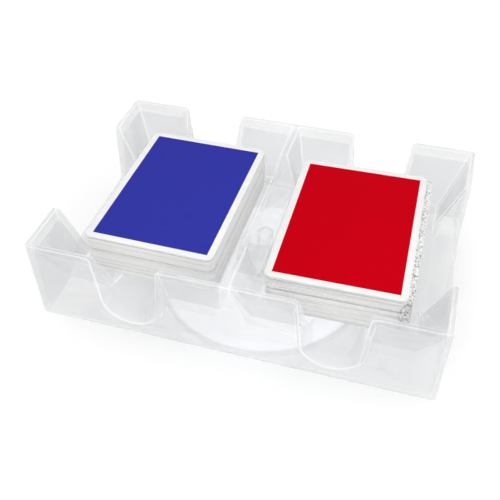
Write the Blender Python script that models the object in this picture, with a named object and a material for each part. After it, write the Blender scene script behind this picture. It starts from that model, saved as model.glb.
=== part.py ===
"""Revolving two-deck card tray.

A clear moulded tray with two funnel-shaped wells turns on a round base disc about a
plastic snap pivot. Each well holds one deck of playing cards.

Metres, +Z up. Origin: centre of the base's footprint, on the table. +X runs from the
left well to the right well, and -Y is the front.
"""
import math

import bmesh
import bpy

# ---------------------------------------------------------------- driving dimensions
GAP = 0.0003                 # air between neighbouring pieces

# tray moulding
TRAY_X, TRAY_Y = 0.190, 0.128          # outside length and width
TRAY_CORNER = 0.0020                   # outside vertical corners
SKIRT_Z, FLOOR_Z, RIM_Z = 0.0125, 0.0290, 0.0565
WALL = 0.0022                          # moulded wall thickness
RIM_LAND = 0.0022                      # flat land on top of the outer walls

# wells: funnels that narrow from the rim to the floor
FOOT_X, FOOT_Y = 0.0812, 0.0495        # outer ends of the well floor
RIDGE_TOP, RIDGE_FOOT = 0.0018, 0.0090  # half widths of the divider, at the rim and the floor

# finger notches through the front and back walls, with a scoop under the deck
NOTCH_X = 0.0472                       # centre of each notch
NOTCH_TOP, NOTCH_KNEE = 0.0153, 0.0128  # half widths at the rim and where the arc starts
NOTCH_KNEE_Z, NOTCH_LOW_Z = 0.0268, 0.0191
SCOOP_STRAIGHT_Y, SCOOP_END_Y = 0.0540, 0.0350
NOTCH_LIP = 0.0028                     # rounding where a notch meets the rim

# side notches through both end walls, and the cut in the divider between the decks
SIDE_TOP, SIDE_FOOT = 0.0345, 0.0328   # half widths at the rim and the bottom
SIDE_LOW_Z = 0.0226                    # lip of the end wall
SIDE_ROLL_X = 0.0840                   # where the floor starts to roll down to the lip
SIDE_CORNER = 0.0050
MID_TOP, MID_FOOT, MID_Z = 0.0352, 0.0345, 0.0378
MID_CORNER = 0.0030

# pivot
HUB_R, HUB_BORE_R, HUB_BORE_TOP = 0.0125, 0.0041, 0.0332
PIN_R, PIN_HEAD_R, PIN_HEAD_H = 0.0038, 0.0085, 0.0026
PIN_BASE_Z = 0.0020
WASHER_T, WASHER_R = 0.0010, 0.0115

# base disc
BASE_R, BASE_RIM_Z, BASE_TOP_Z = 0.0550, 0.0044, 0.0072
BASE_Z = 0.0008                        # disc stands this high on its pads
BOSS_R, BOSS_Z = 0.0150, 0.0106
PAD_R, PAD_T, PAD_RING = 0.0050, 0.0018, 0.0420

# playing cards
CARD_X, CARD_Y, CARD_CORNER, CARD_T = 0.0635, 0.0889, 0.0035, 0.0003
PACKETS, PACKET_T = 6, 0.00315
DECKS = {
    # name: (centre x, centre y, turn, sideways shuffle of its packets)
    "blue": (-0.0441, 0.0001, -0.006, 0.00030),
    "red": (0.0427, -0.0012, 0.020, 0.00055),
}

EPS = 0.004                            # how far cutters run past a face


# ---------------------------------------------------------------- scene and materials
def clear_scene():
    for old in list(bpy.data.objects):
        bpy.data.objects.remove(old, do_unlink=True)


def material(name, colour, roughness, metallic=0.0, alpha=1.0):
    mat = bpy.data.materials.new(name)
    mat.use_nodes = True
    shader = mat.node_tree.nodes["Principled BSDF"]
    shader.inputs["Base Color"].default_value = (*colour, 1.0)
    shader.inputs["Roughness"].default_value = roughness
    shader.inputs["Metallic"].default_value = metallic
    shader.inputs["Alpha"].default_value = alpha
    return mat


# ---------------------------------------------------------------- mesh helpers
def finish_mesh(bm, name, mat=None, location=(0, 0, 0), turn=0.0, smooth=None):
    bmesh.ops.recalc_face_normals(bm, faces=bm.faces)
    mesh = bpy.data.meshes.new(name)
    bm.to_mesh(mesh)
    bm.free()
    obj = bpy.data.objects.new(name, mesh)
    obj.location = location
    obj.rotation_euler = (0, 0, turn)
    bpy.context.scene.collection.objects.link(obj)
    if mat:
        mesh.materials.append(mat)
    if smooth:
        mesh.shade_smooth()
        mesh.set_sharp_from_angle(angle=math.radians(smooth))
    return obj


def loft(rings):
    """Closed body through rings of equal length, capped at both ends."""
    bm = bmesh.new()
    rows = [[bm.verts.new(point) for point in ring] for ring in rings]
    for low, high in zip(rows, rows[1:]):
        for i in range(len(low)):
            j = (i + 1) % len(low)
            bm.faces.new((low[i], low[j], high[j], high[i]))
    bm.faces.new(rows[0])
    bm.faces.new(rows[-1])
    return bm


def arc(cx, cz, radius, start, end, steps):
    """Points on an arc, angles in degrees."""
    angles = [math.radians(start + (end - start) * i / steps) for i in range(steps + 1)]
    return [(cx + radius * math.cos(a), cz + radius * math.sin(a)) for a in angles]


def rounded_rectangle(half_x, half_y, radius, steps=4):
    points = []
    for k, (sx, sy) in enumerate(((1, 1), (-1, 1), (-1, -1), (1, -1))):
        cx, cy = sx * (half_x - radius), sy * (half_y - radius)
        points += arc(cx, cy, radius, 90 * k, 90 * k + 90, steps)
    return points


def upright_prism(outline, z_low, z_high):
    return loft([[(x, y, z) for x, y in outline] for z in (z_low, z_high)])


def turned(profile, steps=48):
    """Solid of revolution about Z from a closed (radius, z) outline clear of the axis."""
    bm = bmesh.new()
    ring = [bm.verts.new((r, 0, z)) for r, z in profile]
    edges = [bm.edges.new((ring[i], ring[(i + 1) % len(ring)])) for i in range(len(ring))]
    bmesh.ops.spin(bm, geom=edges + ring, cent=(0, 0, 0), axis=(0, 0, 1),
                   angle=math.tau, steps=steps, use_merge=True)
    bmesh.ops.remove_doubles(bm, verts=bm.verts, dist=1e-7)
    return bm


def rod(radius, z_low, z_high, steps=32):
    return upright_prism(arc(0, 0, radius, 0, 360 - 360 / steps, steps - 1), z_low, z_high)


def as_cutter(obj):
    obj.hide_render = True
    obj.display_type = "WIRE"
    return obj


def boolean(obj, other, operation):
    step = obj.modifiers.new(operation.lower() + "_" + other.name, "BOOLEAN")
    step.operation = operation
    step.solver = "EXACT"
    step.object = other


# ---------------------------------------------------------------- tray cutters
# Each cutter takes grow: 0 gives the face that is seen, WALL gives the hidden face of
# the moulding behind it.
def lean(top, foot):
    """How far a wall leans sideways per metre of height."""
    return (top - foot) / (RIM_Z - FLOOR_Z)


def well_cutter(side, grow, name):
    half_x_in = TRAY_X / 2 - RIM_LAND
    half_y_in = TRAY_Y / 2 - RIM_LAND
    lean_x, lean_y = lean(half_x_in, FOOT_X), lean(half_y_in, FOOT_Y)
    lean_ridge = lean(RIDGE_TOP, RIDGE_FOOT)

    def ring(z):
        rise = z - FLOOR_Z
        x_out = FOOT_X + lean_x * rise + grow * math.hypot(1, lean_x)
        x_in = RIDGE_FOOT + lean_ridge * rise - grow * math.hypot(1, lean_ridge)
        y_out = FOOT_Y + lean_y * rise + grow * math.hypot(1, lean_y)
        x_in = max(x_in, 0.0004)
        return [(side * x, y, z) for x, y in
                ((x_in, -y_out), (x_out, -y_out), (x_out, y_out), (x_in, y_out))]

    return finish_mesh(loft([ring(FLOOR_Z - grow), ring(RIM_Z + EPS)]), name)


def notch_outline(grow, low_z, squeeze):
    """Half width against height of the U notch, from the rim down and up again."""
    slope = (NOTCH_TOP - NOTCH_KNEE) / (RIM_Z - NOTCH_KNEE_Z)
    knee = (NOTCH_KNEE + grow) * squeeze
    depth = NOTCH_KNEE_Z - low_z
    radius = (knee * knee + depth * depth) / (2 * depth)
    half_angle = math.degrees(math.asin(min(1.0, knee / radius)))
    if depth > knee:
        half_angle = 180 - half_angle
    top = NOTCH_TOP + grow
    right = []
    if grow == 0:
        right += [(top + NOTCH_LIP, RIM_Z + EPS)]
        right += arc(top + NOTCH_LIP, RIM_Z - NOTCH_LIP, NOTCH_LIP, 90, 180, 4)
    else:
        right += [(top + slope * EPS, RIM_Z + EPS), (top, RIM_Z)]
        right += [(top - slope * 0.001 * k, RIM_Z - 0.001 * k) for k in (1, 2, 3, 4)]
    bottom = arc(0, low_z + radius, radius, -90 + half_angle, -90 - half_angle, 14)
    left = [(-x, z) for x, z in reversed(right)]
    return right + bottom + left


def notch_cutter(side, end, grow, name):
    rings = []
    stations = [(TRAY_Y / 2 + EPS, 0.0), (SCOOP_STRAIGHT_Y, 0.0)]
    steps = 6
    reach = SCOOP_STRAIGHT_Y - SCOOP_END_Y + grow
    stations += [(SCOOP_STRAIGHT_Y - reach * math.sin(math.radians(84 * i / steps)),
                  math.radians(84 * i / steps)) for i in range(1, steps + 1)]
    for y, turn in stations:
        low = NOTCH_KNEE_Z - (NOTCH_KNEE_Z - NOTCH_LOW_Z + grow) * math.cos(turn)
        squeeze = 0.35 + 0.65 * math.cos(turn)
        ring = notch_outline(grow, low, squeeze)
        rings.append([(side * NOTCH_X + x, end * y, z) for x, z in ring])
    return finish_mesh(loft(rings), name)


def valley_outline(top, foot, low_z, corner, grow):
    """Half width against height of a flat-bottomed notch with rounded bottom corners."""
    slope = (top - foot) / (RIM_Z - FLOOR_Z)
    radius = corner + grow
    low = low_z - grow
    half = foot + grow + slope * (low + radius - FLOOR_Z)
    right = []
    if grow == 0:
        right += [(top + NOTCH_LIP, RIM_Z + EPS)]
        right += arc(top + NOTCH_LIP, RIM_Z - NOTCH_LIP, NOTCH_LIP, 90, 180, 4)
    else:
        right += [(top + grow + slope * EPS, RIM_Z + EPS), (top + grow, RIM_Z)]
        right += [(top + grow - slope * 0.001 * k, RIM_Z - 0.001 * k) for k in (1, 2, 3, 4)]
    right += arc(half - radius, low + radius, radius, 0, -90, 5)
    return right + [(-x, z) for x, z in reversed(right)]


def side_cutter(side, grow, name):
    stations = [(0.0740, FLOOR_Z), (SIDE_ROLL_X, FLOOR_Z)]
    steps = 6
    for i in range(1, steps + 1):
        turn = math.radians(90 * i / steps)
        x = SIDE_ROLL_X + (TRAY_X / 2 - SIDE_ROLL_X) * math.sin(turn)
        stations.append((x, SIDE_LOW_Z + (FLOOR_Z - SIDE_LOW_Z) * math.cos(turn)))
    stations.append((TRAY_X / 2 + EPS, SIDE_LOW_Z))
    rings = [[(side * x, y, z) for y, z in
              valley_outline(SIDE_TOP, SIDE_FOOT, low, SIDE_CORNER, grow)]
             for x, low in stations]
    return finish_mesh(loft(rings), name)


def middle_cutter(grow, name):
    outline = valley_outline(MID_TOP, MID_FOOT, MID_Z, MID_CORNER, grow)
    reach = RIDGE_FOOT + 0.0010
    return finish_mesh(loft([[(x, y, z) for y, z in outline] for x in (-reach, reach)]), name)


def all_cutters(grow, tag):
    cutters = [well_cutter(side, grow, f"{tag}_well_{side:+d}") for side in (-1, 1)]
    cutters += [notch_cutter(side, end, grow, f"{tag}_notch_{side:+d}{end:+d}")
                for side in (-1, 1) for end in (-1, 1)]
    cutters += [side_cutter(side, grow, f"{tag}_side_{side:+d}") for side in (-1, 1)]
    cutters.append(middle_cutter(grow, f"{tag}_middle"))
    return [as_cutter(cutter) for cutter in cutters]


# ---------------------------------------------------------------- tray
def build_tray(mat):
    outline = rounded_rectangle(TRAY_X / 2, TRAY_Y / 2, TRAY_CORNER)
    tray = finish_mesh(upright_prism(outline, SKIRT_Z, RIM_Z), "card_tray", mat)
    for cutter in all_cutters(0.0, "face"):
        boolean(tray, cutter, "DIFFERENCE")

    inner = rounded_rectangle(TRAY_X / 2 - WALL, TRAY_Y / 2 - WALL, TRAY_CORNER * 0.5)
    hollow = finish_mesh(upright_prism(inner, SKIRT_Z - EPS, RIM_Z - WALL), "tray_hollow")
    for cutter in all_cutters(WALL, "back"):
        boolean(hollow, cutter, "DIFFERENCE")
    boolean(tray, as_cutter(hollow), "DIFFERENCE")

    hub_z = BOSS_Z + WASHER_T + 2 * GAP
    hub = finish_mesh(rod(HUB_R, hub_z, MID_Z - 0.0010, 40), "tray_hub")
    boolean(hub, as_cutter(middle_hub_limit()), "INTERSECT")
    boolean(tray, as_cutter(hub), "UNION")
    bore = finish_mesh(rod(HUB_BORE_R, hub_z - EPS, HUB_BORE_TOP, 32), "hub_bore")
    boolean(tray, as_cutter(bore), "DIFFERENCE")
    return tray


def middle_hub_limit():
    """Keeps the hub under the well floors and inside the divider."""
    lean_ridge = lean(RIDGE_TOP, RIDGE_FOOT)
    inset = 0.0010
    top_half = RIDGE_FOOT + lean_ridge * (MID_Z - FLOOR_Z) - inset
    outline = [(-0.0300, 0.0), (0.0300, 0.0), (0.0300, FLOOR_Z - inset),
               (RIDGE_FOOT - inset, FLOOR_Z - inset), (top_half, MID_Z - inset * 0.5),
               (-top_half, MID_Z - inset * 0.5), (-RIDGE_FOOT + inset, FLOOR_Z - inset),
               (-0.0300, FLOOR_Z - inset)]
    return finish_mesh(loft([[(x, y, z) for x, z in outline] for y in (-0.03, 0.03)]), "hub_limit")


# ---------------------------------------------------------------- turntable
def build_base(mat):
    skin = 0.0022
    well_r = PIN_HEAD_R + GAP * 2
    ceiling = PIN_BASE_Z + PIN_HEAD_H + GAP
    profile = [(BASE_R - 0.0006, BASE_Z), (BASE_R, BASE_Z + 0.0008), (BASE_R, BASE_RIM_Z - 0.0010)]
    profile += arc(BASE_R - 0.0010, BASE_RIM_Z - 0.0010, 0.0010, 30, 90, 2)
    profile += [(BOSS_R + 0.0040, BASE_TOP_Z), (BOSS_R + 0.0008, BASE_TOP_Z + 0.0010)]
    profile += [(BOSS_R, BOSS_Z - 0.0006), (BOSS_R - 0.0006, BOSS_Z)]
    profile += [(PIN_R + GAP, BOSS_Z), (PIN_R + GAP, ceiling), (well_r, ceiling), (well_r, BASE_Z)]
    profile += [(well_r + skin, BASE_Z), (well_r + skin, BASE_TOP_Z - skin)]
    profile += [(BASE_R - 0.0055, BASE_RIM_Z - skin), (BASE_R - 0.0060, BASE_Z)]
    base = finish_mesh(turned(profile, 64), "turntable_base", mat, smooth=35)
    for i in range(4):
        angle = math.radians(45 + 90 * i)
        post = finish_mesh(rod(PAD_R + 0.0016, BASE_Z, BASE_RIM_Z, 20), f"pad_post_{i + 1}",
                           location=(PAD_RING * math.cos(angle), PAD_RING * math.sin(angle), 0))
        boolean(base, as_cutter(post), "UNION")
        pocket = finish_mesh(rod(PAD_R + GAP, BASE_Z - EPS, PAD_T + GAP, 20), f"pad_pocket_{i + 1}",
                             location=post.location)
        boolean(base, as_cutter(pocket), "DIFFERENCE")
    return base


def build_pads(mat):
    for i in range(4):
        angle = math.radians(45 + 90 * i)
        finish_mesh(rod(PAD_R, 0.0, PAD_T, 20), f"foot_pad_{i + 1}", mat, smooth=35,
                    location=(PAD_RING * math.cos(angle), PAD_RING * math.sin(angle), 0))


def build_pivot(mat):
    """Shoulder pin with a flange below and a tapered nose above."""
    top = HUB_BORE_TOP - 0.0010
    neck = PIN_BASE_Z + PIN_HEAD_H
    steps = ((PIN_HEAD_R - 0.0004, PIN_BASE_Z), (PIN_HEAD_R, PIN_BASE_Z + 0.0004),
             (PIN_HEAD_R, neck), (PIN_R, neck), (PIN_R, top - 0.0015), (PIN_R - 0.0010, top))
    rings = [[(x, y, z) for x, y in arc(0, 0, radius, 0, 350, 35)] for radius, z in steps]
    return finish_mesh(loft(rings), "pivot_pin", mat, smooth=35)


def build_washer(mat):
    low = BOSS_Z + GAP
    profile = [(WASHER_R, low), (WASHER_R, low + WASHER_T),
               (PIN_R + GAP, low + WASHER_T), (PIN_R + GAP, low)]
    return finish_mesh(turned(profile, 40), "thrust_washer", mat, smooth=35)


# ---------------------------------------------------------------- cards
def build_deck(colour, edge_mat, back_mat):
    """One deck as it is lifted and cut: packets of cards with the top card loose on them."""
    x, y, turn, shuffle = DECKS[colour]
    outline = rounded_rectangle(CARD_X / 2, CARD_Y / 2, CARD_CORNER)
    low = FLOOR_Z + GAP
    for i in range(PACKETS):
        shift = shuffle * math.sin(2.1 * i + 0.7)
        slip = 0.6 * shuffle * math.cos(1.7 * i)
        high = low + PACKET_T
        packet = upright_prism(outline, 0.0, PACKET_T)
        finish_mesh(packet, f"{colour}_card_packet_{i + 1}", edge_mat, smooth=35,
                    location=(x + shift, y + slip, low), turn=turn + 0.004 * math.sin(3 * i))
        low = high + GAP
    finish_mesh(upright_prism(outline, 0.0, CARD_T), f"{colour}_top_card", back_mat, smooth=35,
                location=(x, y, low), turn=turn)


def main():
    clear_scene()
    clear_plastic = material("clear_plastic", (0.90, 0.92, 0.93), 0.08, alpha=0.35)
    milky_plastic = material("milky_plastic", (0.90, 0.92, 0.94), 0.35)
    nylon = material("white_nylon", (0.86, 0.87, 0.86), 0.45)
    pad_rubber = material("pad_rubber", (0.70, 0.71, 0.70), 0.70)
    card_edge = material("card_edge", (0.83, 0.83, 0.80), 0.60)
    blue_back = material("blue_card_back", (0.040, 0.045, 0.342), 0.35)
    red_back = material("red_card_back", (0.552, 0.002, 0.010), 0.35)

    build_tray(clear_plastic)
    build_base(milky_plastic)
    build_pads(pad_rubber)
    build_pivot(nylon)
    build_washer(nylon)
    build_deck("blue", card_edge, blue_back)
    build_deck("red", card_edge, red_back)


main()
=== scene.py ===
import math

import bmesh
import bpy
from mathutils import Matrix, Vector


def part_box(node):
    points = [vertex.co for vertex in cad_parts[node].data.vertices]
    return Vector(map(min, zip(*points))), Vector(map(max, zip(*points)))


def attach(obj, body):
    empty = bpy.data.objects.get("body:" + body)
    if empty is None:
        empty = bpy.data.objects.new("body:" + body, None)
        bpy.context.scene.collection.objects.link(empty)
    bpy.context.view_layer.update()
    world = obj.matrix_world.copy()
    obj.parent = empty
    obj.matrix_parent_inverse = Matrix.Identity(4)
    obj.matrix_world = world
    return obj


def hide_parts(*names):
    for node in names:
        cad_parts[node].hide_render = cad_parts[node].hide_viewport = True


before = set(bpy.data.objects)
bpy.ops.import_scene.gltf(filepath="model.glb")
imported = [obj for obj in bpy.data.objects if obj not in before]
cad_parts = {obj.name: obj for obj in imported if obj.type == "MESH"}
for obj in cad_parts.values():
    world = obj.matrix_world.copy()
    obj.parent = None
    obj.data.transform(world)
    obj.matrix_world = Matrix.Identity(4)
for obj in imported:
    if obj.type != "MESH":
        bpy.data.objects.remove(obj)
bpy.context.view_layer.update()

# ------------------------------------------------------------------ sizes from the frame
tray_low, tray_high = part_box("card_tray")
base_low, base_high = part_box("turntable_base")
washer_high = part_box("thrust_washer")[1]
pin_low, pin_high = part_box("pivot_pin")

MM = 0.001
HALF_X, HALF_Y = tray_high.x, tray_high.y
RIM_Z, SKIRT_Z = tray_high.z, washer_high.z + 0.6 * MM
HUB_Z = tray_low.z
FLOOR_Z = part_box("blue_card_packet_1")[0].z - 0.3 * MM
WALL = 2.2 * MM
EDGE = 0.45 * MM                     # rounding of every moulded edge
EPS = 4 * MM                         # how far cutters run past a face

# well funnels
FOOT_X, FOOT_Y = HALF_X - 13.8 * MM, HALF_Y - 14.5 * MM
RIDGE_TOP, RIDGE_FOOT = 1.8 * MM, 9.0 * MM

# finger notches and their scoops
NOTCH_X = 47.2 * MM
NOTCH_TOP, NOTCH_KNEE = 15.3 * MM, 12.8 * MM
NOTCH_KNEE_Z, NOTCH_LOW_Z = FLOOR_Z - 2.2 * MM, FLOOR_Z - 9.9 * MM
SCOOP_STRAIGHT_Y, SCOOP_END_Y = HALF_Y - 10 * MM, HALF_Y - 29 * MM
NOTCH_LIP = 2.8 * MM

# end wall notches and the low middle of the divider
SIDE_TOP, SIDE_FOOT, SIDE_CORNER = 34.5 * MM, 32.8 * MM, 5 * MM
SIDE_LOW_Z, SIDE_ROLL_X = FLOOR_Z - 6.4 * MM, HALF_X - 11 * MM
MID_TOP, MID_FOOT, MID_CORNER = 35.2 * MM, 34.5 * MM, 3 * MM
MID_Z = FLOOR_Z + 8.8 * MM

# hub and pivot
HUB_R, HUB_BORE_R = 12.5 * MM, 4.1 * MM
HUB_BORE_TOP = pin_high.z + 1.0 * MM

# cards
CARD_X, CARD_Y, CARD_CORNER = 63.5 * MM, 88.9 * MM, 3.5 * MM
PRINT_X, PRINT_Y = 57.0 * MM, 82.2 * MM
PRINT_LINE = 0.22 * MM               # half width of the fine line round the print
CARDS_IN_PACKET, CARD_THICK = 9, 0.33 * MM
WORN_FROM, WORN_TO = 71.5 * MM, 74.2 * MM   # across the tray, where card edges get specks

# clear plastic: film strength face-on and at grazing angles, a painted glow that keeps the film light
# grey where shade falls, and the share that refracts
FILM_FACE, FILM_EDGE, FILM_PAINTED_GLOW = 0.17, 0.44, 0.26
# the RIM_ set is for the rounded edges: a denser film with a stronger painted glow, which draws
# painted highlight lines along them
RIM_FACE, RIM_EDGE, RIM_PAINTED_GLOW = 0.50, 0.15, 0.56
GLASS_SHARE = 0.14

# how each deck lies in its well, in radians, and how loosely it is stacked: the reach of
# its ragged right side, the slip of its cards and their turn in radians
DECK_TURN = {"blue": -0.006, "red": 0.020}
DECK_LOOSE = {"blue": (0.1 * MM, 0.22 * MM, 0.003), "red": (2.8 * MM, 0.30 * MM, 0.006)}

# each ink with its darker tone
BLUE_INK = (0.036, 0.041, 0.372, 1), (0.030, 0.034, 0.33, 1)
RED_INK = (0.600, 0.0005, 0.008, 1), (0.54, 0.0005, 0.007, 1)

# stage: extra white of the floor, light of the sky on the object, the camera and the lamps
FLOOR_GLOW, SKY = 0.22, 0.85
CAMERA_AT = (0.0719, -0.2564, 0.2725)
CAMERA_AIM = (-0.00602, -0.00692, 0.02498)
CAMERA_ROLL, CAMERA_LENS = -0.95, 50.97      # degrees and millimetres
LAMP_SIZE, LAMP_AIM = 0.9, (0, 0, 0.03)


# ------------------------------------------------------------------ shader maths
class Value:
    """A socket or number that adds its own Math nodes when it is used in an expression."""

    def __init__(self, tree, source):
        self.tree = tree
        self.source = source

    def _math(self, operation, *others):
        node = self.tree.nodes.new("ShaderNodeMath")
        node.operation = operation
        for slot, item in zip(node.inputs, (self,) + others):
            item = item.source if isinstance(item, Value) else item
            if isinstance(item, (int, float)):
                slot.default_value = item
            else:
                self.tree.links.new(item, slot)
        return Value(self.tree, node.outputs[0])

    def __add__(self, other):
        return self._math("ADD", other)

    def __sub__(self, other):
        return self._math("SUBTRACT", other)

    def __mul__(self, other):
        return self._math("MULTIPLY", other)

    def __lt__(self, other):
        return self._math("LESS_THAN", other)

    def abs(self):
        return self._math("ABSOLUTE")

    def sin(self):
        return self._math("SINE")

    def power(self, exponent):
        return self._math("POWER", exponent)

    def clamped(self):
        out = self._math("MULTIPLY", 1.0)
        out.source.node.use_clamp = True
        return out


def add_node(tree, kind, settings=None, out=0, **sockets):
    """Any node: its settings first, then the values or links of its sockets.

    A socket goes by iN for its place in the list, or else by its name.
    """
    made = tree.nodes.new(kind)
    for key, value in (settings or {}).items():
        if key == "stops":
            ramp = made.color_ramp
            while len(ramp.elements) < len(value):
                ramp.elements.new(0.5)
            for element, (place, colour) in zip(ramp.elements, value):
                element.position = place
                element.color = (*colour, 1.0)
        else:
            setattr(made, key, value)
    for key, value in sockets.items():
        numbered = key[0] == "i" and key[1:].isdigit()
        slot = made.inputs[int(key[1:]) if numbered else key.replace("_", " ")]
        value = value.source if isinstance(value, Value) else value
        if isinstance(value, bpy.types.NodeSocket):
            tree.links.new(value, slot)
        else:
            slot.default_value = value
    return Value(tree, made.outputs[out])


class Finish:
    """A material under construction: one Principled shader and the nodes that feed it."""

    def __init__(self, name, **constants):
        self.mat = bpy.data.materials.new(name)
        self.mat.use_nodes = True
        self.tree = self.mat.node_tree
        self.shader = self.tree.nodes["Principled BSDF"]
        self.output = self.tree.nodes["Material Output"]
        for socket, value in constants.items():
            self.shader.inputs[socket.replace("_", " ")].default_value = value

    def node(self, kind, settings=None, out=0, **sockets):
        return add_node(self.tree, kind, settings, out, **sockets)

    def place(self):
        return self.node("ShaderNodeTexCoord", out=3)

    def axes(self, vector):
        split = self.node("ShaderNodeSeparateXYZ", Vector=vector).source.node
        return [Value(self.tree, split.outputs[i]) for i in range(3)]

    def noise(self, scale, detail=3.0, roughness=0.5, stretch=None):
        where = self.place()
        if stretch:
            where = self.node("ShaderNodeMapping", i0=where, i3=stretch)
        return self.node("ShaderNodeTexNoise", Vector=where, Scale=scale, Detail=detail,
                         Roughness=roughness)

    def span(self, value, low, high, new_low, new_high):
        return self.node("ShaderNodeMapRange", i0=value, i1=low, i2=high, i3=new_low, i4=new_high)

    def mix(self, factor, first, second):
        return self.node("ShaderNodeMix", {"data_type": "RGBA"}, out=2, i0=factor, i6=first, i7=second)

    def feed(self, socket, value):
        self.tree.links.new(value.source, self.shader.inputs[socket])

    def bump(self, height, strength, distance):
        self.feed("Normal", self.node("ShaderNodeBump", Height=height, Strength=strength,
                                      Distance=distance))


# ------------------------------------------------------------------ materials
def clear_moulding(name, face, edge, glow):
    """Clear polystyrene: a pale film that thickens at grazing angles, over true refraction; the film's
    emission is a painted glow that keeps it light where shade falls.
    """
    # the emission colour and strength are painted light: a glow that lightens the film in shaded
    # places
    finish = Finish(name, Base_Color=(0.80, 0.81, 0.825, 1), IOR=1.49, Roughness=0.12,
                    Emission_Color=(0.97, 0.975, 0.985, 1), Emission_Strength=glow)
    haze = finish.noise(38, 4, 0.6)
    cloud = finish.span(haze, 0.3, 0.7, -1.0, 1.0)
    scratch = finish.noise(900, 2, 0.5, stretch=(0.06, 1.0, 1.0))
    flow = finish.noise(26, 2, 0.4)
    grazing = finish.node("ShaderNodeLayerWeight", out=1, Blend=0.5)
    finish.feed("Alpha", grazing * edge + cloud * 0.015 + face)
    finish.feed("Roughness", finish.span(haze, 0.35, 0.75, 0.10, 0.22))
    finish.feed("Base Color", finish.mix(finish.span(flow, 0.3, 0.7, 0.0, 1.0),
                                         (0.38, 0.385, 0.395, 1), (0.50, 0.505, 0.515, 1)))
    finish.bump(flow + scratch * 0.06, 0.10, 0.0006)
    glass = finish.node("ShaderNodeBsdfPrincipled", Base_Color=(0.97, 0.975, 0.98, 1), IOR=1.38,
                        Transmission_Weight=1.0, Roughness=0.06)
    body = finish.node("ShaderNodeMixShader", i0=GLASS_SHARE, i1=finish.shader.outputs[0], i2=glass)
    through = finish.node("ShaderNodeBsdfTransparent", Color=(0.95, 0.953, 0.958, 1))
    shadow_ray = finish.node("ShaderNodeLightPath", out=1)
    mixed = finish.node("ShaderNodeMixShader", i0=shadow_ray, i1=body, i2=through)
    finish.tree.links.new(mixed.source, finish.output.inputs["Surface"])
    return finish.mat


def milky_moulding():
    """White translucent disc: soft sheen, slight cloudiness, turning marks from use, and a painted
    glow that lightens it in the tray's shade, dimmed on the outer rim band.
    """
    # the emission is a painted glow that lightens the disc where the tray shades it
    finish = Finish("milky_moulding", Roughness=0.3, IOR=1.49, Emission_Strength=0.62)
    cloud = finish.noise(45, 3, 0.55)
    finish.feed("Base Color", finish.mix(finish.span(cloud, 0.35, 0.7, 0.0, 1.0),
                                         (0.62, 0.63, 0.65, 1), (0.70, 0.71, 0.73, 1)))
    x, y, _ = finish.axes(finish.place())
    radius = (x * x + y * y).power(0.5)
    # the painted glow dims over the outermost 1 to 2 mm, leaving the rim band darker
    rim_glow_fade = finish.span(radius, base_high.x - 2 * MM, base_high.x - 1 * MM, 0.0, 1.0)
    finish.feed("Emission Color", finish.mix(rim_glow_fade, (0.97, 0.98, 1.0, 1), (0.30, 0.31, 0.33, 1)))
    rings = (radius * 9000).sin() * 0.5 + finish.noise(500, 2, 0.5)
    finish.feed("Roughness", finish.span(cloud, 0.3, 0.7, 0.24, 0.40))
    finish.bump(rings, 0.05, 0.0002)
    return finish.mat


def white_nylon():
    # the emission is a painted glow that keeps the pin and washer light in the shade of the tray
    finish = Finish("white_nylon", Roughness=0.45, Emission_Color=(0.95, 0.96, 0.96, 1),
                    Emission_Strength=0.5)
    grain = finish.noise(700, 3, 0.6)
    finish.feed("Base Color", finish.mix(finish.span(finish.noise(90), 0.3, 0.7, 0, 1),
                                         (0.60, 0.61, 0.60, 1), (0.68, 0.685, 0.68, 1)))
    finish.feed("Roughness", finish.span(grain, 0.3, 0.7, 0.38, 0.56))
    finish.bump(grain, 0.12, 0.0002)
    return finish.mat


def pad_rubber():
    finish = Finish("pad_rubber", Roughness=0.7)
    grain = finish.noise(1400, 4, 0.65)
    finish.feed("Base Color", finish.mix(finish.span(grain, 0.3, 0.7, 0, 1),
                                         (0.60, 0.61, 0.60, 1), (0.72, 0.73, 0.72, 1)))
    finish.feed("Roughness", finish.span(grain, 0.3, 0.7, 0.6, 0.85))
    finish.bump(grain, 0.3, 0.0002)
    return finish.mat


def back_print(finish, colour, deep):
    """Colour of a card's back at the print map's place, and where that map is on the card."""
    u, v, _ = finish.axes(finish.node("ShaderNodeUVMap", {"uv_map": "print"}))
    printed = (u.abs() < PRINT_X / 2) * (v.abs() < PRINT_Y / 2)
    line_x = ((u.abs() - PRINT_X / 2).abs() < PRINT_LINE) * (v.abs() < PRINT_Y / 2 + PRINT_LINE)
    line_y = ((v.abs() - PRINT_Y / 2).abs() < PRINT_LINE) * (u.abs() < PRINT_X / 2 + PRINT_LINE)
    mottle = finish.span(finish.noise(260, 4, 0.6), 0.3, 0.7, 0.0, 1.0)
    ink = finish.mix(mottle * 0.5, colour, deep)
    ink = finish.mix((line_x + line_y).clamped() * 0.6, ink, deep)
    paper = finish.mix(finish.span(finish.noise(150, 3, 0.6), 0.3, 0.7, 0, 1),
                       (0.86, 0.86, 0.85, 1), (0.93, 0.93, 0.925, 1))
    return finish.mix(printed, paper, ink), u, v, mottle


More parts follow.
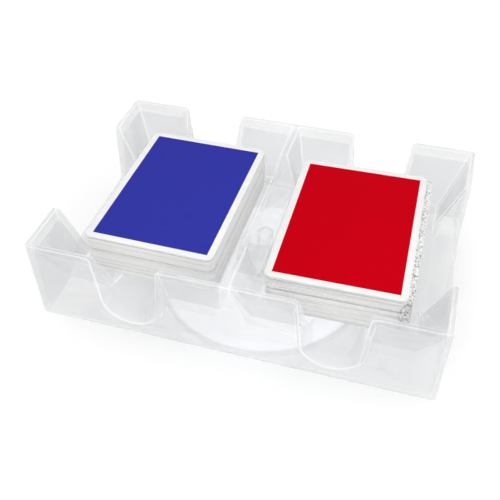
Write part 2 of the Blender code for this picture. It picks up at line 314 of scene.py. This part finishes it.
def card_stock(name, speckle, colour, deep):
    """Cut edges of coated card: each card a slightly different white, fibres and worn specks; the top
    card of each stack gets the darkest edge, a painted shadow line under what lies on it.
    """
    finish = Finish(name, Roughness=0.6, Specular_IOR_Level=0.02)
    tone = finish.node("ShaderNodeAttribute", {"attribute_name": "tone"}, out=2)
    fibre = finish.noise(1600, 3, 0.6, stretch=(1.0, 1.0, 6.0))
    blotch = finish.noise(120, 3, 0.6)
    shade = finish.span(tone * 0.80 + fibre * 0.15 + blotch * 0.15, 0.1, 0.90, 0.0, 1.0)
    # the darkest stop colours the top card's edge: a painted shadow line
    edge = finish.node("ShaderNodeValToRGB", {"stops": (
        (0.0, (0.50, 0.50, 0.50)), (0.16, (0.80, 0.795, 0.79)),
        (0.5, (0.90, 0.90, 0.89)), (1.0, (0.96, 0.96, 0.95)))}, Fac=shade)
    across, _, _ = finish.axes(finish.place())
    worn = finish.span(across, WORN_FROM, WORN_TO, 0.06, 1.0) * speckle
    specks = finish.span(finish.noise(1100, 2, 0.7), 0.52, 0.60, 0.0, 1.0) * worn
    back, u, _, _ = back_print(finish, colour, deep)
    body = finish.mix(u.abs() < CARD_X, edge, back)
    finish.feed("Base Color", finish.mix(specks, body, (0.16, 0.17, 0.16, 1)))
    finish.feed("Roughness", finish.span(fibre, 0.3, 0.7, 0.5, 0.72))
    finish.bump(fibre, 0.25, 0.00015)
    return finish.mat


def card_back(name, colour, deep):
    """Coated card back: plain colour inside a white border, with a fine linen emboss."""
    finish = Finish(name, Roughness=0.45, Coat_Roughness=0.2, Specular_IOR_Level=0.0)
    back, u, v, mottle = back_print(finish, colour, deep)
    finish.feed("Base Color", back)
    linen = (u * 7400).sin() * (v * 7400).sin()
    finish.feed("Roughness", finish.span(finish.noise(60, 3, 0.6), 0.3, 0.7, 0.40, 0.52))
    finish.feed("Coat Weight", finish.span(mottle, 0.0, 1.0, 0.0, 0.02))
    finish.bump(linen + finish.noise(500) * 0.4, 0.10, 0.00012)
    return finish.mat


# ------------------------------------------------------------------ mesh helpers
def new_object(bm, name, mat=None, smooth=None):
    bmesh.ops.recalc_face_normals(bm, faces=bm.faces)
    mesh = bpy.data.meshes.new(name)
    bm.to_mesh(mesh)
    bm.free()
    obj = bpy.data.objects.new(name, mesh)
    bpy.context.scene.collection.objects.link(obj)
    if mat:
        mesh.materials.append(mat)
    if smooth:
        mesh.shade_smooth()
        mesh.set_sharp_from_angle(angle=math.radians(smooth))
    return obj


def loft(rings):
    """Closed body through rings of equal length, capped at both ends."""
    bm = bmesh.new()
    rows = [[bm.verts.new(point) for point in ring] for ring in rings]
    for low, high in zip(rows, rows[1:]):
        for i in range(len(low)):
            j = (i + 1) % len(low)
            bm.faces.new((low[i], low[j], high[j], high[i]))
    bm.faces.new(rows[0])
    bm.faces.new(rows[-1])
    return bm


def arc(cx, cz, radius, start, end, steps):
    angles = [math.radians(start + (end - start) * i / steps) for i in range(steps + 1)]
    return [(cx + radius * math.cos(a), cz + radius * math.sin(a)) for a in angles]


def circle(cx, cy, radius, count=48):
    return arc(cx, cy, radius, 0, 360 - 360 / count, count - 1)


def rounded_rectangle(half_x, half_y, radius, steps=6):
    points = []
    for k, (sx, sy) in enumerate(((1, 1), (-1, 1), (-1, -1), (1, -1))):
        cx, cy = sx * (half_x - radius), sy * (half_y - radius)
        points += arc(cx, cy, radius, 90 * k, 90 * k + 90, steps)
    return points


def upright_prism(outline, z_low, z_high):
    return loft([[(x, y, z) for x, y in outline] for z in (z_low, z_high)])


def turned(profile, steps):
    """Solid of revolution about Z from a closed (radius, z) outline clear of the axis."""
    bm = bmesh.new()
    ring = [bm.verts.new((r, 0, z)) for r, z in profile]
    edges = [bm.edges.new((ring[i], ring[(i + 1) % len(ring)])) for i in range(len(ring))]
    bmesh.ops.spin(bm, geom=edges + ring, cent=(0, 0, 0), axis=(0, 0, 1),
                   angle=math.tau, steps=steps, use_merge=True)
    bmesh.ops.remove_doubles(bm, verts=bm.verts, dist=1e-7)
    return bm


def boolean(obj, other, operation):
    step = obj.modifiers.new(operation.lower(), "BOOLEAN")
    step.operation = operation
    step.solver = "EXACT"
    step.object = other


def settle(obj, name):
    """The evaluated shape of obj as a plain mesh object of its own."""
    graph = bpy.context.evaluated_depsgraph_get()
    graph.update()
    mesh = bpy.data.meshes.new_from_object(obj.evaluated_get(graph))
    made = bpy.data.objects.new(name, mesh)
    bpy.context.scene.collection.objects.link(made)
    bpy.data.objects.remove(obj)
    return made


# ------------------------------------------------------------------ the clear tray
# Each cutter takes grow: 0 gives the face that is seen, WALL gives the hidden face of
# the moulding behind it.
def lean(top, foot):
    """Slope of a wall that is at top at the rim and at foot at the well floor."""
    return (top - foot) / (RIM_Z - FLOOR_Z)


def well_cutter(side, grow):
    lean_x, lean_y = lean(HALF_X - WALL, FOOT_X), lean(HALF_Y - WALL, FOOT_Y)
    lean_ridge = lean(RIDGE_TOP, RIDGE_FOOT)

    def ring(z):
        rise = z - FLOOR_Z
        x_out = FOOT_X + lean_x * rise + grow * math.hypot(1, lean_x)
        x_in = RIDGE_FOOT + lean_ridge * rise - grow * math.hypot(1, lean_ridge)
        y_out = FOOT_Y + lean_y * rise + grow * math.hypot(1, lean_y)
        x_in = max(x_in, 0.4 * MM)
        return [(side * x, y, z) for x, y in
                ((x_in, -y_out), (x_out, -y_out), (x_out, y_out), (x_in, y_out))]

    return new_object(loft([ring(FLOOR_Z - grow), ring(RIM_Z + EPS)]), "well")


def shoulder(top, grow, slope):
    """Right edge of a notch from above the rim down to just under it."""
    if grow == 0:
        lip = arc(top + NOTCH_LIP, RIM_Z - NOTCH_LIP, NOTCH_LIP, 90, 180, 8)
        return [(top + NOTCH_LIP, RIM_Z + EPS)] + lip
    down = [(top + grow - slope * MM * k, RIM_Z - MM * k) for k in range(1, 9)]
    return [(top + grow + slope * EPS, RIM_Z + EPS), (top + grow, RIM_Z)] + down


def notch_outline(grow, low_z, squeeze):
    slope = (NOTCH_TOP - NOTCH_KNEE) / (RIM_Z - NOTCH_KNEE_Z)
    knee = (NOTCH_KNEE + grow) * squeeze
    depth = NOTCH_KNEE_Z - low_z
    radius = (knee * knee + depth * depth) / (2 * depth)
    half_angle = math.degrees(math.asin(min(1.0, knee / radius)))
    if depth > knee:
        half_angle = 180 - half_angle
    right = shoulder(NOTCH_TOP, grow, slope)
    bottom = arc(0, low_z + radius, radius, -90 + half_angle, -90 - half_angle, 28)
    return right + bottom + [(-x, z) for x, z in reversed(right)]


def notch_cutter(side, end, grow):
    """U notch that runs in from the wall and closes under the deck in a quarter round."""
    stations = [(HALF_Y + EPS, 0.0), (SCOOP_STRAIGHT_Y, 0.0)]
    reach = SCOOP_STRAIGHT_Y - SCOOP_END_Y + grow
    for i in range(1, 15):
        turn = math.radians(6 * i)
        stations.append((SCOOP_STRAIGHT_Y - reach * math.sin(turn), turn))
    rings = []
    for y, turn in stations:
        low = NOTCH_KNEE_Z - (NOTCH_KNEE_Z - NOTCH_LOW_Z + grow) * math.cos(turn)
        ring = notch_outline(grow, low, 0.35 + 0.65 * math.cos(turn))
        rings.append([(side * NOTCH_X + x, end * y, z) for x, z in ring])
    return new_object(loft(rings), "notch")


def valley_outline(top, foot, low_z, corner, grow):
    slope = lean(top, foot)
    radius = corner + grow
    low = low_z - grow
    half = foot + grow + slope * (low + radius - FLOOR_Z)
    right = shoulder(top, grow, slope)
    right += arc(half - radius, low + radius, radius, 0, -90, 9)
    return right + [(-x, z) for x, z in reversed(right)]


def side_cutter(side, grow):
    """End wall notch whose floor rolls down to a lip."""
    stations = [(HALF_X - 21 * MM, FLOOR_Z), (SIDE_ROLL_X, FLOOR_Z)]
    for i in range(1, 13):
        turn = math.radians(7.5 * i)
        x = SIDE_ROLL_X + (HALF_X - SIDE_ROLL_X) * math.sin(turn)
        stations.append((x, SIDE_LOW_Z + (FLOOR_Z - SIDE_LOW_Z) * math.cos(turn)))
    stations.append((HALF_X + EPS, SIDE_LOW_Z))
    rings = [[(side * x, y, z) for y, z in
              valley_outline(SIDE_TOP, SIDE_FOOT, low, SIDE_CORNER, grow)]
             for x, low in stations]
    return new_object(loft(rings), "side")


def middle_cutter(grow):
    outline = valley_outline(MID_TOP, MID_FOOT, MID_Z, MID_CORNER, grow)
    reach = RIDGE_FOOT + MM
    return new_object(loft([[(x, y, z) for y, z in outline] for x in (-reach, reach)]), "middle")


def tray_cutters(grow):
    cutters = [well_cutter(side, grow) for side in (-1, 1)]
    cutters += [notch_cutter(side, end, grow) for side in (-1, 1) for end in (-1, 1)]
    cutters += [side_cutter(side, grow) for side in (-1, 1)]
    return cutters + [middle_cutter(grow)]


def hub_limit():
    """Keeps the hub under the well floors and inside the divider."""
    inset, reach = MM, 30 * MM
    top_half = RIDGE_FOOT + lean(RIDGE_TOP, RIDGE_FOOT) * (MID_Z - FLOOR_Z) - inset
    right = [(reach, FLOOR_Z - inset), (RIDGE_FOOT - inset, FLOOR_Z - inset),
             (top_half, MID_Z - inset / 2)]
    left = [(-x, z) for x, z in reversed(right)]
    outline = [(-reach, 0.0), (reach, 0.0)] + right + left
    return new_object(loft([[(x, y, z) for x, z in outline] for y in (-reach, reach)]), "limit")


def round_edges(obj, width):
    """Joins flat neighbours, then rounds every edge of the moulding."""
    bm = bmesh.new()
    bm.from_mesh(obj.data)
    bmesh.ops.remove_doubles(bm, verts=bm.verts, dist=5e-5)
    bmesh.ops.dissolve_limit(bm, angle_limit=math.radians(0.6), verts=bm.verts, edges=bm.edges)
    bm.to_mesh(obj.data)
    bm.free()
    bevel = obj.modifiers.new("edges", "BEVEL")
    bevel.limit_method = "ANGLE"
    bevel.angle_limit = math.radians(32)
    bevel.width = width
    bevel.segments = 2
    bevel.use_clamp_overlap = False
    # the rounded faces take the second material, which paints bright highlight lines along every edge
    bevel.material = 1
    return settle(obj, obj.name + "_rounded")


def clear_tray(mat, highlight_edge_mat):
    outline = rounded_rectangle(HALF_X, HALF_Y, 2 * MM)
    tray = new_object(upright_prism(outline, SKIRT_Z, RIM_Z), "tray")
    inner = rounded_rectangle(HALF_X - WALL, HALF_Y - WALL, MM)
    hollow = new_object(upright_prism(inner, SKIRT_Z - EPS, RIM_Z - WALL), "hollow")
    shape, backs = tray_cutters(0.0), tray_cutters(WALL)
    for cutter in shape:
        boolean(tray, cutter, "DIFFERENCE")
    for cutter in backs:
        boolean(hollow, cutter, "DIFFERENCE")
    boolean(tray, hollow, "DIFFERENCE")
    hub = new_object(upright_prism(circle(0, 0, HUB_R, 72), HUB_Z, MID_Z - MM), "hub")
    limit = hub_limit()
    boolean(hub, limit, "INTERSECT")
    boolean(tray, hub, "UNION")
    bore = new_object(upright_prism(circle(0, 0, HUB_BORE_R), HUB_Z - EPS, HUB_BORE_TOP), "bore")
    boolean(tray, bore, "DIFFERENCE")
    tray = settle(tray, "clear_tray")
    for helper in shape + backs + [hollow, hub, limit, bore]:
        bpy.data.objects.remove(helper)
    tray.data.materials.clear()
    tray.data.materials.append(mat)
    # second material: the painted highlight of the rounded edges
    tray.data.materials.append(highlight_edge_mat)
    tray.data.polygons.foreach_set("material_index", [0] * len(tray.data.polygons))
    tray = round_edges(tray, EDGE)
    tray.name = "clear_tray_shell"
    tray.data.shade_smooth()
    tray.data.set_sharp_from_angle(angle=math.radians(40))
    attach(tray, "tray")
    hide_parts("card_tray")


# ------------------------------------------------------------------ turntable
def turntable(mat):
    """Dished disc with a rolled rim, a raised bearing boss and a recess for the pin's head."""
    radius, low, top = base_high.x, base_low.z, base_high.z
    rim, skin, play = low + 3.6 * MM, 2.2 * MM, 0.3 * MM
    boss, bore = 15.0 * MM, 4.1 * MM
    foot_r, rim_r, fillet, boss_r = 0.8 * MM, 1.2 * MM, 1.4 * MM, 0.6 * MM
    well_r, ceiling = pin_high.x + 0.6 * MM, pin_low.z + 2.9 * MM
    deck = top - 3.4 * MM
    profile = [(radius - 0.6 * MM, low)]
    profile += arc(radius - foot_r, low + foot_r, foot_r, -60, 0, 4)
    profile += arc(radius - rim_r, rim - rim_r, rim_r, 0, 84, 8)
    profile += [(boss + 4 * MM, deck)]
    profile += arc(boss + fillet, deck + fillet, fillet, -85, -175, 6)
    profile += arc(boss - boss_r, top - boss_r, boss_r, 5, 90, 5)
    profile += [(bore, top), (bore, ceiling), (well_r, ceiling), (well_r, low)]
    profile += [(well_r + skin, low), (well_r + skin, deck - skin)]
    profile += [(radius - 5.5 * MM, rim - skin), (radius - 6 * MM, low)]
    disc = new_object(turned(profile, 160), "disc")
    helpers = []
    for node in ("foot_pad_1", "foot_pad_2", "foot_pad_3", "foot_pad_4"):
        pad_low, pad_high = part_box(node)
        x, y = (pad_low.x + pad_high.x) / 2, (pad_low.y + pad_high.y) / 2
        pad_r = (pad_high.x - pad_low.x) / 2
        post = new_object(upright_prism(circle(x, y, pad_r + 1.6 * MM), low, rim), "post")
        pocket = new_object(upright_prism(circle(x, y, pad_r + play), low - MM,
                                          pad_high.z + play), "pocket")
        boolean(disc, post, "UNION")
        boolean(disc, pocket, "DIFFERENCE")
        helpers += [post, pocket]
    disc = settle(disc, "turntable_disc")
    for helper in helpers:
        bpy.data.objects.remove(helper)
    disc.data.materials.clear()
    disc.data.materials.append(mat)
    disc.data.shade_smooth()
    disc.data.set_sharp_from_angle(angle=math.radians(35))
    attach(disc, "base")
    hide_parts("turntable_base")


def foot_pads(mat):
    """Soft bumpers with a rounded shoulder, one in each pocket of the disc."""
    for i in range(1, 5):
        low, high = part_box(f"foot_pad_{i}")
        x, y, radius = (low.x + high.x) / 2, (low.y + high.y) / 2, (high.x - low.x) / 2
        round_r = 0.5 * MM
        levels = arc(radius - round_r, low.z + round_r, round_r, -90, 0, 6)
        levels.append((radius, high.z))
        rings = [[(px, py, z) for px, py in circle(x, y, r)] for r, z in levels]
        pad = new_object(loft(rings), f"bumper_pad_{i}", mat, smooth=50)
        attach(pad, "base")
        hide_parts(f"foot_pad_{i}")


# ------------------------------------------------------------------ cards
def card_blank():
    """One playing card centred on the origin; only its back face lies inside the print map."""
    outline = rounded_rectangle(CARD_X / 2, CARD_Y / 2, CARD_CORNER, 5)
    bm = upright_prism(outline, 0.0, CARD_THICK)
    uv = bm.loops.layers.uv.new("print")
    for face in bm.faces:
        back = all(vert.co.z > CARD_THICK / 2 for vert in face.verts)
        for loop in face.loops:
            loop[uv].uv = loop.vert.co.xy if back else (1.0, 1.0)
    return new_object(bm, "card_blank")


def stack_tree(name, mat, blank):
    """Geometry nodes: a stack of blanks, each slipped and turned a little, with its own tone; the last
    card's tone is 0, which paints a shadow line along its edge.
    """
    tree = bpy.data.node_groups.new(name, "GeometryNodeTree")
    add_socket = tree.interface.new_socket
    add_socket("Geometry", in_out="OUTPUT", socket_type="NodeSocketGeometry")
    inputs = {"Cards": "Int", "Pitch": "Float", "Slip": "Float", "Ragged": "Float",
              "Turn": "Float", "Seed": "Int", "Corner": "Vector", "Yaw": "Float"}
    for label, kind in inputs.items():
        add_socket(label, in_out="INPUT", socket_type="NodeSocket" + kind)

    def node(kind, settings=None, out=0, **sockets):
        return add_node(tree, kind, settings, out, **sockets)

    sockets = tree.nodes.new("NodeGroupInput").outputs
    given = {label: Value(tree, sockets[label]) for label in inputs}
    index = node("GeometryNodeInputIndex")

    def chance(low, high, offset):
        return node("FunctionNodeRandomValue", {"data_type": "FLOAT"}, out=1,
                    i2=low, i3=high, ID=index, Seed=given["Seed"] + float(offset))

    slip_x = chance(-1.0, 1.0, 1) * given["Slip"]
    shift_x = slip_x + chance(0.0, 1.0, 2).power(1.7) * given["Ragged"]
    shift_y = chance(-1.0, 1.0, 3) * given["Slip"]
    place = node("ShaderNodeCombineXYZ", X=shift_x, Y=shift_y, Z=index * given["Pitch"])
    yaw = chance(-1.0, 1.0, 4) * given["Turn"] + given["Yaw"]
    points = node("GeometryNodePoints", Count=given["Cards"], Position=place)
    # the top card gets tone 0: its dark edge is a painted shadow under what rests on it
    tone = chance(0.0, 1.0, 5) * (index < given["Cards"] - 1.5)
    toned = node("GeometryNodeStoreNamedAttribute", {"data_type": "FLOAT", "domain": "POINT"},
                 Geometry=points, Name="tone", Value=tone)
    shape = node("GeometryNodeObjectInfo", out=4, Object=blank)
    copies = node("GeometryNodeInstanceOnPoints", Points=toned, Instance=shape,
                  Rotation=node("ShaderNodeCombineXYZ", Z=yaw))
    moved = node("GeometryNodeTranslateInstances", Instances=copies,
                 Translation=given["Corner"], Local_Space=False)
    solid = node("GeometryNodeRealizeInstances", Geometry=moved)
    painted = node("GeometryNodeSetMaterial", Geometry=solid, Material=mat)
    tree.links.new(painted.source, tree.nodes.new("NodeGroupOutput").inputs[0])
    return tree


def card_stack(tree, colour, part, packets, seed):
    """One liftable part of a deck, in the space of its CAD packets."""
    ragged, slip, turn = DECK_LOOSE[colour]
    names = [f"{colour}_card_packet_{i}" for i in packets]
    lows, highs = zip(*(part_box(name) for name in names))
    low, high = lows[0].z, highs[-1].z
    middle = sum((a + b for a, b in zip(lows, highs)), Vector()) / (2 * len(names))
    cards = CARDS_IN_PACKET * len(names)
    pitch = (high - low - CARD_THICK) / (cards - 1)
    holder = bpy.data.objects.new("stack", bpy.data.meshes.new("stack"))
    bpy.context.scene.collection.objects.link(holder)
    step = holder.modifiers.new("stack", "NODES")
    step.node_group = tree
    values = {"Cards": cards, "Pitch": pitch, "Slip": slip, "Ragged": ragged, "Turn": turn,
              "Seed": seed, "Corner": (middle.x, middle.y, low), "Yaw": DECK_TURN[colour]}
    for item in tree.interface.items_tree:
        if item.in_out == "INPUT":
            step[item.identifier] = values[item.name]
    stack = settle(holder, f"{colour}_{part}_cards")
    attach(stack, f"{colour}_{part}_cards")
    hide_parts(*names)


def top_card(colour, mat):
    """The loose top card, its printed back mapped in metres from the card's centre."""
    low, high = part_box(f"{colour}_top_card")
    middle = (low + high) / 2
    turn = DECK_TURN[colour]
    cos, sin = math.cos(turn), math.sin(turn)
    outline = rounded_rectangle(CARD_X / 2, CARD_Y / 2, CARD_CORNER, 10)
    inner = rounded_rectangle(CARD_X / 2 - 0.06 * MM, CARD_Y / 2 - 0.06 * MM, CARD_CORNER, 10)
    levels = ((inner, low.z), (outline, low.z + 0.05 * MM),
              (outline, high.z - 0.05 * MM), (inner, high.z))
    bm = loft([[(x, y, z) for x, y in ring] for ring, z in levels])
    uv = bm.loops.layers.uv.new("print")
    for face in bm.faces:
        for loop in face.loops:
            loop[uv].uv = loop.vert.co.x, loop.vert.co.y
    for vert in bm.verts:
        x, y = vert.co.x, vert.co.y
        vert.co.x = middle.x + x * cos - y * sin
        vert.co.y = middle.y + x * sin + y * cos
    card = new_object(bm, f"{colour}_back_card", mat, smooth=50)
    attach(card, f"{colour}_top_card")
    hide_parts(f"{colour}_top_card")


# ------------------------------------------------------------------ stage
def seen_directly(tree):
    """1 for rays that reach the camera straight, by reflection or by refraction, else 0."""
    path = tree.nodes.new("ShaderNodeLightPath")
    kinds = ("Is Camera Ray", "Is Glossy Ray", "Is Transmission Ray")
    seen = [Value(tree, path.outputs[kind]) for kind in kinds]
    return (seen[0] + seen[1] + seen[2]).clamped()


def facing(where, aim):
    """Rotation of a lamp or camera that stands at one point and looks at another."""
    return (Vector(aim) - Vector(where)).to_track_quat("-Z", "Y").to_euler()


def lamp(name, power, where):
    light = bpy.data.lights.new(name, "AREA")
    light.shape = "SQUARE"
    light.size = LAMP_SIZE
    light.energy = power
    obj = bpy.data.objects.new(name, light)
    obj.location = where
    obj.rotation_euler = facing(where, LAMP_AIM)
    bpy.context.scene.collection.objects.link(obj)


def floor_and_light():
    bpy.ops.mesh.primitive_plane_add(size=6.0, location=(0, 0, -0.0002))
    floor = bpy.context.object
    floor.name = "studio_floor"
    finish = Finish("studio_floor", Roughness=0.9, Base_Color=(0.80, 0.80, 0.80, 1))
    glow = finish.node("ShaderNodeEmission", Color=(1, 1, 1, 1),
                       Strength=seen_directly(finish.tree) * FLOOR_GLOW)
    both = finish.node("ShaderNodeAddShader", i0=finish.shader.outputs[0], i1=glow)
    finish.tree.links.new(both.source, finish.output.inputs["Surface"])
    floor.data.materials.append(finish.mat)

    world = bpy.data.worlds.new("studio")
    bpy.context.scene.world = world
    world.use_nodes = True
    tree = world.node_tree
    back = tree.nodes["Background"]
    back.inputs["Color"].default_value = (1, 1, 1, 1)
    strength = seen_directly(tree) * (1.0 - SKY) + SKY
    tree.links.new(strength.source, back.inputs["Strength"])

    lamp("key_softbox", 3.2, (-0.55, -0.75, 1.15))
    lamp("fill_softbox", 2.8, (0.95, -0.30, 0.75))


def camera():
    """Looks down over the front right corner."""
    cam = bpy.data.cameras.new("camera")
    cam.sensor_width = 36.0
    cam.lens = CAMERA_LENS
    cam.clip_start = 0.01
    obj = bpy.data.objects.new("camera", cam)
    obj.location = CAMERA_AT
    obj.rotation_euler = facing(CAMERA_AT, CAMERA_AIM)
    obj.rotation_euler.rotate_axis("Z", math.radians(CAMERA_ROLL))
    bpy.context.scene.collection.objects.link(obj)
    bpy.context.scene.camera = obj


bpy.context.scene.view_settings.view_transform = "Standard"

clear_tray(clear_moulding("clear_moulding", FILM_FACE, FILM_EDGE, FILM_PAINTED_GLOW),
           clear_moulding("clear_edges", RIM_FACE, RIM_EDGE, RIM_PAINTED_GLOW))
turntable(milky_moulding())
foot_pads(pad_rubber())
nylon = white_nylon()
for name in ("pivot_pin", "thrust_washer"):
    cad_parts[name].data.materials.clear()
    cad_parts[name].data.materials.append(nylon)

card_shape = card_blank()
blue_stack = stack_tree("blue_stack", card_stock("blue_deck_edges", 0.15, *BLUE_INK), card_shape)
red_stack = stack_tree("red_stack", card_stock("red_deck_edges", 0.8, *RED_INK), card_shape)
card_stack(blue_stack, "blue", "lower", (1, 2, 3, 4), seed=3)
card_stack(blue_stack, "blue", "upper", (5, 6), seed=17)
card_stack(red_stack, "red", "lower", (1, 2, 3, 4), seed=29)
card_stack(red_stack, "red", "upper", (5, 6), seed=41)
bpy.data.objects.remove(card_shape)
top_card("blue", card_back("blue_back", *BLUE_INK))
top_card("red", card_back("red_back", *RED_INK))

floor_and_light()
camera()
